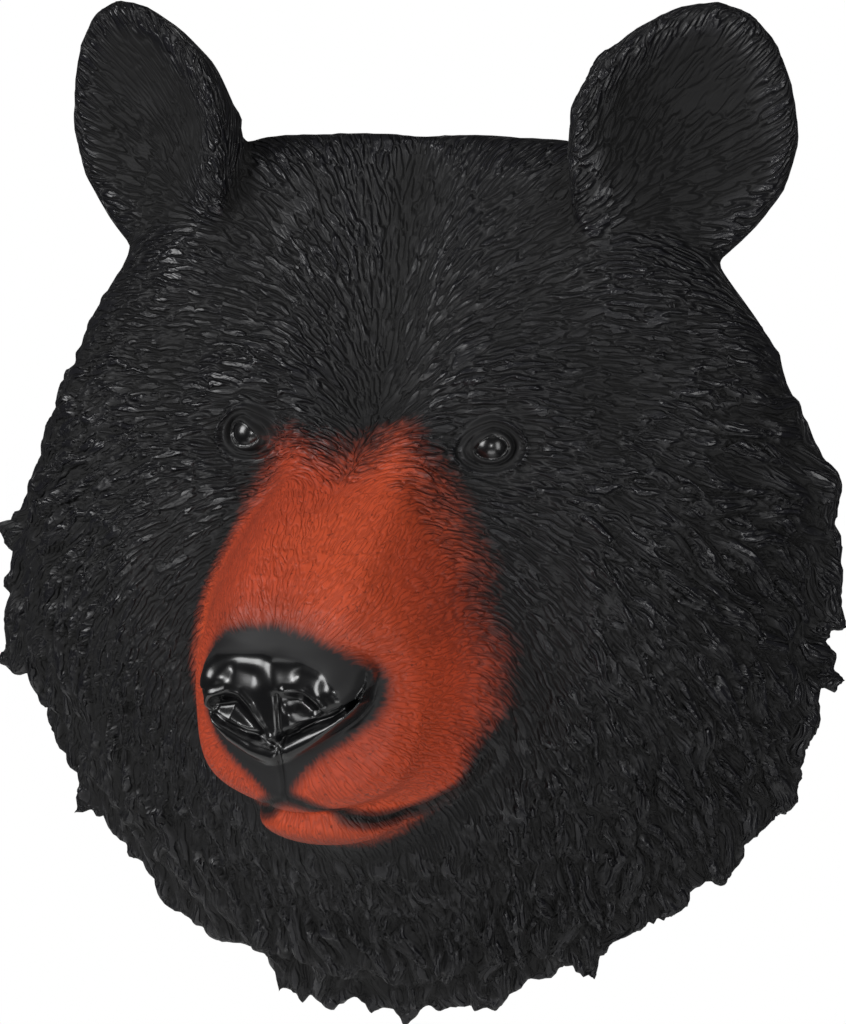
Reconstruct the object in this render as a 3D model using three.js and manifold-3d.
// A bear's head in high relief, cast in one piece with a flat back that hangs against a wall.
// Millimetres. The wall is the plane Y = 0, the bear looks along -Y, +X is the viewer's right, +Z is up.
import * as THREE from "three";
import { mergeVertices } from "three/addons/utils/BufferGeometryUtils.js";
import Module from "manifold-3d";

const wasm = await Module();
wasm.setup();
const { degToRad, smoothstep } = THREE.MathUtils;

// The head is lofted through these rings, from the wall to the tip of the muzzle. A ring has its middle
// `up` from the origin, reaches `halfWidth` to each side, `rise` above and `drop` below its middle, and
// stands off the wall by `outTop`, `outSide` and `outFoot`. Its foot hangs to one side by `sway`.
const rings = {
  wallEdge: { up: -13, halfWidth: 136, rise: 147, drop: 146, outTop: 0, outSide: 0, outFoot: 0, sway: -4 },
  ruffRim: { up: -12, halfWidth: 149, rise: 156, drop: 152, outTop: 17, outSide: 31, outFoot: 50, sway: -7 },
  outer: { up: -10, halfWidth: 128, rise: 130, drop: 131, outTop: 33, outSide: 60, outFoot: 69, sway: -4 },
  cheek: { up: -8, halfWidth: 91, rise: 89, drop: 104, outTop: 51, outSide: 81, outFoot: 88, sway: 0 },
  muzzleRoot: { up: -12, halfWidth: 55, rise: 58, drop: 82, outTop: 74, outSide: 96, outFoot: 108, sway: 0 },
  midMuzzle: { up: -24, halfWidth: 44, rise: 45, drop: 53, outTop: 114, outSide: 114, outFoot: 130, sway: 0 },
  lipRing: { up: -34, halfWidth: 39, rise: 36, drop: 37, outTop: 143, outSide: 137, outFoot: 149, sway: 0 },
  noseBase: { up: -38, halfWidth: 25, rise: 27, drop: 27, outTop: 154, outSide: 150, outFoot: 155, sway: 0 },
};
const muzzleTip = { up: -38, out: 158 };
const ringSquareness = { top: 2.5, side: 2, foot: 1.87 };

// Shares of the way from the wall to the muzzle's tip at which the skin is divided, outside and inside
// the ruff.
const sideShares = [0, 0.07];
const faceShares = [0.43, 0.46, 0.49, 0.52, 0.56, 0.61, 0.67, 0.73, 0.8, 0.88, 1];

// Locks of fur carved in the ruff, in rows like shingles from the face out to the rim, each row half a
// lock aside of the next. The last row goes `past` the rim and makes the outline. Locks stand up to
// `height` off the skin at their tips, droop and wave by angles in radians, and fade out up by the ears.
const ruff = {
  locksRound: 28,
  rows: 4,
  stepsPerLock: 4,
  stepsPerRow: 3,
  innerShare: 0.4,
  rimShare: 0.115,
  height: 6.5,
  innerHeight: 3.5,
  smallest: 0.6,
  largest: 1.4,
  edge: 0.6,
  tipCut: 0.55,
  past: 9,
  pointedness: 2,
  droop: 0.14,
  waves: [
    { swing: 0.04, round: 7, outward: 11 },
    { swing: 0.024, round: 13, outward: -17 },
  ],
  fadeFrom: 46,
  fadeTo: 85,
};

// Lumps and hollows of the face. Each is a place, or a line from one place to another, given as distance
// to the side, out from the wall and up. It is pushed out or in by `push` and fades over `reach`.
const swells = [
  { name: "brow", from: [32, 66, 63], to: [56, 62, 59], reach: 16, push: 5, pair: true },
  { name: "eye socket", from: [46, 78, 41], reach: 15, push: -4, pair: true },
  { name: "hollow by the muzzle", from: [33, 88, 26], to: [44, 92, -2], reach: 11, push: -5, pair: true },
  { name: "nasal crest", from: [19, 84, 40], to: [18, 148, -4], reach: 9, push: 3, pair: true },
  { name: "forehead furrow", from: [0, 70, 60], to: [0, 26, 132], reach: 14, push: -5 },
  { name: "forehead lobe", from: [30, 46, 96], reach: 27, push: 4, pair: true },
  { name: "temple", from: [84, 56, 62], reach: 24, push: -4, pair: true },
  { name: "cheek", from: [94, 72, -32], reach: 36, push: 6, pair: true },
  { name: "ear root", from: [62, 24, 130], reach: 20, push: 6, pair: true },
  { name: "ear foot", from: [86, 38, 96], reach: 21, push: 7, pair: true },
  { name: "upper lip", from: [28, 138, -58], to: [38, 112, -64], reach: 15, push: 5, pair: true },
  { name: "full left ruff", from: [-152, 34, -54], reach: 24, push: 7 },
  { name: "flat left temple", from: [-148, 30, 30], reach: 18, push: -4 },
  { name: "flat right ruff", from: [154, 34, -24], reach: 24, push: -5 },
  { name: "right shoulder", from: [128, 28, 76], reach: 20, push: 4 },
];

// Eyes, as a ball behind two lids and a fold above. Lifts are in degrees from the line of sight.
const eye = { side: 46, out: 69, up: 41.5, ball: 10, turnOut: 24, lookUp: 4 };
const lids = [
  { lift: 40, corner: 22, ball: 10.6, roll: 1.9 },
  { lift: -40, corner: 22, ball: 10.4, roll: 1.8 },
  { lift: 64, corner: 12, ball: 11.6, roll: 2 },
];
const lidTaper = 0.4;

// Ears, as round cups that lean and turn outwards, narrower at the neck and crown, thicker behind at
// the base. Both sit a little to one side by `sway`.
const ear = {
  side: 99,
  sway: -1.5,
  out: 30,
  up: 139.5,
  halfWidth: 41,
  halfHeight: 53,
  neck: 0.74,
  crown: 0.86,
  rim: 6,
  cup: 15,
  cupFrom: -0.9,
  cupFull: 0.1,
  backTop: 10,
  backFoot: 34,
  leanOut: 20,
  turnOut: 23,
  tipForward: 5,
  squareness: 0.7,
};

// The nose leather, widest above its middle and narrow below, with a bent hollow for each nostril.
const nose = {
  out: 149,
  up: -30,
  halfWidth: 31,
  halfHeight: 21,
  depth: 12,
  footWidth: 0.42,
  topSlope: 6,
  squareness: 0.8,
};
const nostril = {
  way: [[4, 163, -35], [11, 160, -38], [19, 156, -38], [26, 150, -32], [30, 146, -24]],
  halfHeight: 5,
  depth: 8,
  steps: 9,
};

// The chin under the upper lip, and the line of the mouth from the middle to the corner.
const jaw = { out: 112, up: -80, halfWidth: 27, halfHeight: 11, depth: 27 };
const mouth = {
  way: [
    [0, 158, -66],
    [8, 150, -72],
    [17, 134, -78],
    [26, 119, -80],
    [35, 107, -79],
    [44, 97, -75],
    [51, 96, -66],
  ],
  halfHeight: 2.4,
  depth: 4,
  steps: 12,
};

// Divisions round and along each of the rounder lumps.
const cuts = {
  ear: [18, 12],
  eyeBall: [14, 9],
  lid: [5, 9],
  nose: [24, 12],
  jaw: [16, 10],
  grooveRound: 6,
};

const furBlack = 0x1d1d1f;
const sides = [1, -1];

function spot(side, out, up) {
  return new THREE.Vector3(side, -out, up);
}

function blend(value, from, to) {
  return from + (to - from) * value;
}

function signedPower(value, power) {
  return Math.sign(value) * Math.abs(value) ** power;
}

// A repeatable number from 0 to 1.
function scatter(seed) {
  const wave = Math.sin(seed * 12.9898 + 4.1) * 43758.5453;
  return wave - Math.floor(wave);
}

// A closed skin: a sphere's grid with each vertex put where place(turn, rise) says, both from 0 to 1.
function closedSkin(sectors, rows, place) {
  const grid = new THREE.SphereGeometry(1, sectors, rows);
  const position = grid.getAttribute("position");
  for (let row = 0; row <= rows; row += 1) {
    for (let sector = 0; sector <= sectors; sector += 1) {
      const point = place((sector % sectors) / sectors, row / rows);
      position.setXYZ(row * (sectors + 1) + sector, point.x, point.y, point.z);
    }
  }
  return grid;
}

// A rod along a path, pointed at both ends. `facing` says which way its thickness goes.
function rod(path, facing, sectors, rows, sizeAt) {
  return closedSkin(sectors, rows, (turn, rise) => {
    const along = path.getTangent(rise);
    const across = new THREE.Vector3().crossVectors(facing, along).normalize();
    const up = new THREE.Vector3().crossVectors(along, across).normalize();
    const { width, thick } = sizeAt(rise);
    const round = turn * 2 * Math.PI;
    return path
      .getPoint(rise)
      .addScaledVector(across, width * Math.cos(round))
      .addScaledVector(up, thick * Math.sin(round));
  });
}

// The solid of a closed geometry, turned right side out if its grid ran the other way.
function solidOf(geometry) {
  const bare = geometry.clone();
  bare.deleteAttribute("normal");
  bare.deleteAttribute("uv");
  const merged = mergeVertices(bare, 1e-3);
  const triVerts = new Uint32Array(merged.index.array);
  const vertProperties = new Float32Array(merged.getAttribute("position").array);
  const solid = new wasm.Manifold(new wasm.Mesh({ numProp: 3, vertProperties, triVerts }));
  if (solid.volume() > 0) return solid;
  const turned = triVerts.slice().reverse();
  return new wasm.Manifold(new wasm.Mesh({ numProp: 3, vertProperties, triVerts: turned }));
}

// A point of a ring at an angle from its top, going round by the viewer's right.
function ringPoint(ring, angle) {
  const across = Math.sin(angle);
  const above = Math.cos(angle);
  const upper = above >= 0;
  const square = upper ? blend(above ** 4, ringSquareness.side, ringSquareness.top) : ringSquareness.foot;
  const power = 2 / square;
  const out = blend(above ** 2, ring.outSide, upper ? ring.outTop : ring.outFoot);
  const reach = upper ? ring.rise : ring.drop;
  const sway = upper ? 0 : ring.sway * above ** 2;
  return spot(
    ring.halfWidth * signedPower(across, power) + sway,
    out,
    ring.up + reach * signedPower(above, power),
  );
}

// The bare loft along one sector, from the wall's edge (0) to the muzzle's tip (1).
function sectorCurve(angle) {
  const points = Object.values(rings).map((ring) => ringPoint(ring, angle));
  points.push(spot(0, muzzleTip.out, muzzleTip.up));
  return new THREE.CatmullRomCurve3(points, false, "centripetal");
}

const swellLines = swells.flatMap(({ from, to = from, reach, push, pair }) =>
  (pair ? sides : [1]).map((side) => ({
    line: new THREE.Line3(spot(side * from[0], from[1], from[2]), spot(side * to[0], to[1], to[2])),
    reach,
    push,
  })),
);

function pushAt(point) {
  const nearest = new THREE.Vector3();
  return swellLines.reduce((sum, { line, reach, push }) => {
    if (line.distanceSq() > 0) line.closestPointToPoint(point, true, nearest);
    else nearest.copy(line.start);
    const ratio = nearest.distanceTo(point) / reach;
    return sum + push * Math.exp(-ratio * ratio);
  }, 0);
}

// A point of the head's skin and the way it faces, by angle and by share of the way to the muzzle's tip.
function skinAt(angle, share) {
  const step = 0.01;
  const low = Math.max(0, share - step);
  const high = Math.min(1, share + step);
  const sector = sectorCurve(angle);
  const point = sector.getPoint(share);
  const along = sector.getPoint(high).sub(sector.getPoint(low));
  const round = sectorCurve(angle + step).getPoint(share).sub(sectorCurve(angle - step).getPoint(share));
  const facing = new THREE.Vector3().crossVectors(along, round).normalize();
  if (share > 0 && share < 1) point.addScaledVector(facing, pushAt(point));
  return { point, facing };
}

// How full the ruff is in a direction: 0 at the top of the head, 1 from the cheeks down.
function ruffFullness(angle) {
  const fromTop = Math.acos(Math.cos(angle));
  return smoothstep(fromTop, degToRad(ruff.fadeFrom), degToRad(ruff.fadeTo));
}

// The lock seen at a node of the ruff, which is the topmost row that reaches it: how far along the lock the
// node lies, from root (0) to tip (1), how far aside of its middle, and the lock's own size.
function lockAt(column, step) {
  const half = ruff.stepsPerLock / 2;
  const way = step / ruff.stepsPerRow;
  for (let row = 0; row <= ruff.rows; row += 1) {
    const shift = row % 2 ? half : 0;
    const index = Math.round((column - shift) / ruff.stepsPerLock);
    const aside = Math.abs(column - shift - index * ruff.stepsPerLock) / half;
    if (way <= row + 1 - aside) {
      const along = aside < 1 ? (way - row + 1 - aside) / (2 - 2 * aside) : 1;
      const chance = scatter((index % ruff.locksRound) * 7 + row * 101);
      return { along, aside, size: blend(chance, ruff.smallest, ruff.largest) };
    }
  }
  return { along: 0, aside: 0, size: 1 };
}

// A node of the ruff's grid. The node just past a tip is drawn back under it, so that tips end steeply.
function ruffNode(column, step) {
  const columns = ruff.locksRound * ruff.stepsPerLock;
  const steps = ruff.rows * ruff.stepsPerRow;
  const outward = step / steps;
  const angle = (column / columns) * 2 * Math.PI;
  const full = ruffFullness(angle);
  const { along, aside, size } = lockAt(column, step);
  const pastTip = along * ruff.stepsPerRow < 1 - along;
  const share = blend((step - (pastTip ? full * ruff.tipCut : 0)) / steps, ruff.innerShare, ruff.rimShare);
  const swings = ruff.waves.map((wave) => wave.swing * Math.sin(wave.round * angle + wave.outward * outward));
  const bend = swings.reduce((sum, swing) => sum + swing, ruff.droop * outward * Math.sin(angle));
  const { point, facing } = skinAt(angle + full * bend, share);
  const height = blend(outward, ruff.innerHeight, ruff.height) * blend(aside, 1, ruff.edge);
  point.addScaledVector(facing, full * height * size * along);
  if (step < steps) return point;
  const drop = rings.ruffRim.up + ruff.past * Math.abs(Math.sin(angle));
  const away = spot(point.x, 0, point.z - drop).normalize();
  return point.addScaledVector(away, full * ruff.past * size * (1 - aside ** ruff.pointedness));
}

function headSkin() {
  const columns = ruff.locksRound * ruff.stepsPerLock;
  const steps = ruff.rows * ruff.stepsPerRow;
  const ruffStart = 1 + sideShares.length;
  const faceStart = ruffStart + steps + 1;
  const rows = faceStart + faceShares.length - 1;
  return closedSkin(columns, rows, (turn, rise) => {
    const row = Math.round(rise * rows);
    const angle = turn * 2 * Math.PI;
    if (row === 0) return spot(0, 0, rings.wallEdge.up);
    if (row < ruffStart) return skinAt(angle, sideShares[row - 1]).point;
    if (row < faceStart) return ruffNode(Math.round(turn * columns), steps - (row - ruffStart));
    return skinAt(angle, faceShares[row - faceStart]).point;
  });
}

// One ear: a flattened ball, hollow in front above its base, with a back that fills out towards the head.
function earSkin(side) {
  const turn = new THREE.Euler(
    degToRad(ear.tipForward),
    degToRad(side * ear.leanOut),
    degToRad(side * ear.turnOut),
    "ZXY",
  );
  return closedSkin(...cuts.ear, (round, rise) => {
    const pole = rise * Math.PI;
    const angle = round * 2 * Math.PI;
    const radius = Math.sin(pole) ** ear.squareness;
    const across = radius * Math.cos(angle);
    const above = radius * Math.sin(angle);
    const rim = ear.rim * Math.sqrt(Math.max(0, 1 - radius ** 6));
    const cup = ear.cup * smoothstep(above, ear.cupFrom, ear.cupFull) * Math.max(0, 1 - radius ** 2);
    const back = blend((1 - above) / 2, ear.backTop, ear.backFoot) * Math.sqrt(Math.max(0, 1 - radius ** 3));
    const out = Math.cos(pole) < 0 ? rim - cup : -back;
    const neck = blend(smoothstep(above, -1, 0.3), ear.neck, 1);
    const crown = blend(smoothstep(above, 0.1, 1), 1, ear.crown);
    const point = spot(across * ear.halfWidth * neck * crown, out, above * ear.halfHeight);
    return point.applyEuler(turn).add(spot(side * ear.side + ear.sway, ear.out, ear.up));
  });
}

function eyeFrame(side) {
  const turnOut = degToRad(eye.turnOut);
  const lookUp = degToRad(eye.lookUp);
  const level = Math.cos(lookUp);
  const gaze = spot(side * Math.sin(turnOut) * level, Math.cos(turnOut) * level, Math.sin(lookUp));
  const outer = spot(side * Math.cos(turnOut), -Math.sin(turnOut), 0);
  const upward = spot(0, 0, 1).addScaledVector(gaze, -gaze.z).normalize();
  return { middle: spot(side * eye.side, eye.out, eye.up), gaze, outer, upward };
}

function eyeBall(side) {
  const { middle } = eyeFrame(side);
  return new THREE.SphereGeometry(eye.ball, ...cuts.eyeBall).translate(middle.x, middle.y, middle.z);
}

// A lid is a roll over the eye from corner to corner, lifted or lowered from the line of sight.
function lidRoll(side, { lift, corner, ball, roll }) {
  const { middle, gaze, outer, upward } = eyeFrame(side);
  const tilt = degToRad(lift);
  const ahead = gaze.clone().multiplyScalar(Math.cos(tilt)).addScaledVector(upward, Math.sin(tilt));
  const stations = cuts.lid[1];
  const points = Array.from({ length: stations }, (_, index) => {
    const turn = degToRad(blend(index / (stations - 1), corner, 180 - corner));
    const way = outer.clone().multiplyScalar(Math.cos(turn)).addScaledVector(ahead, Math.sin(turn));
    return middle.clone().addScaledVector(way, ball);
  });
  return rod(new THREE.CatmullRomCurve3(points), gaze, ...cuts.lid, (rise) => {
    const size = roll * Math.sin(Math.PI * rise) ** lidTaper;
    return { width: size, thick: size };
  });
}

function noseSkin() {
  return closedSkin(...cuts.nose, (round, rise) => {
    const pole = rise * Math.PI;
    const angle = round * 2 * Math.PI;
    const radius = Math.sin(pole) ** nose.squareness;
    const across = radius * signedPower(Math.cos(angle), nose.squareness);
    const above = radius * signedPower(Math.sin(angle), nose.squareness);
    const width = nose.halfWidth * blend(Math.max(0, -above), 1, nose.footWidth);
    const slope = nose.topSlope * Math.max(0, above) ** 2;
    const out = nose.out - nose.depth * signedPower(Math.cos(pole), nose.squareness) - slope;
    return spot(across * width, out, nose.up + above * nose.halfHeight);
  });
}

function jawSkin() {
  const ball = new THREE.SphereGeometry(1, ...cuts.jaw);
  ball.scale(jaw.halfWidth, jaw.depth, jaw.halfHeight);
  return ball.translate(0, -jaw.out, jaw.up);
}

// A groove along a way on one side of the face, deepest in its middle.
function groove(side, { way, halfHeight, depth, steps }) {
  const path = new THREE.CatmullRomCurve3(way.map(([x, out, up]) => spot(side * x, out, up)));
  return rod(path, spot(0, 1, 0), cuts.grooveRound, steps, (rise) => {
    const fullness = Math.sqrt(Math.max(0, Math.sin(Math.PI * rise)));
    return { width: halfHeight * fullness, thick: depth * fullness };
  });
}

const lumps = [
  headSkin(),
  noseSkin(),
  jawSkin(),
  ...sides.flatMap((side) => [earSkin(side), eyeBall(side)]),
  ...sides.flatMap((side) => lids.map((lid) => lidRoll(side, lid))),
];
const grooves = sides.flatMap((side) => [groove(side, nostril), groove(side, mouth)]);
const roomSize = 800;
const room = new THREE.BoxGeometry(roomSize, roomSize, roomSize).translate(0, -roomSize / 2, 0);

const head = lumps.map(solidOf).reduce((whole, lump) => whole.add(lump));
const carved = grooves.map(solidOf).reduce((whole, hollow) => whole.subtract(hollow), head);
const casting = carved.intersect(solidOf(room));

function geometryOf(solid) {
  const { vertProperties, triVerts } = solid.getMesh();
  const geometry = new THREE.BufferGeometry();
  geometry.setAttribute("position", new THREE.BufferAttribute(vertProperties, 3));
  geometry.setIndex(new THREE.BufferAttribute(triVerts, 1));
  geometry.computeVertexNormals();
  return geometry;
}

const bearHead = new THREE.Mesh(
  geometryOf(casting),
  new THREE.MeshStandardMaterial({ color: furBlack, roughness: 0.5, metalness: 0 }),
);
bearHead.name = "bear_head";

const sculpture = new THREE.Group();
sculpture.add(bearHead);
export default sculpture;
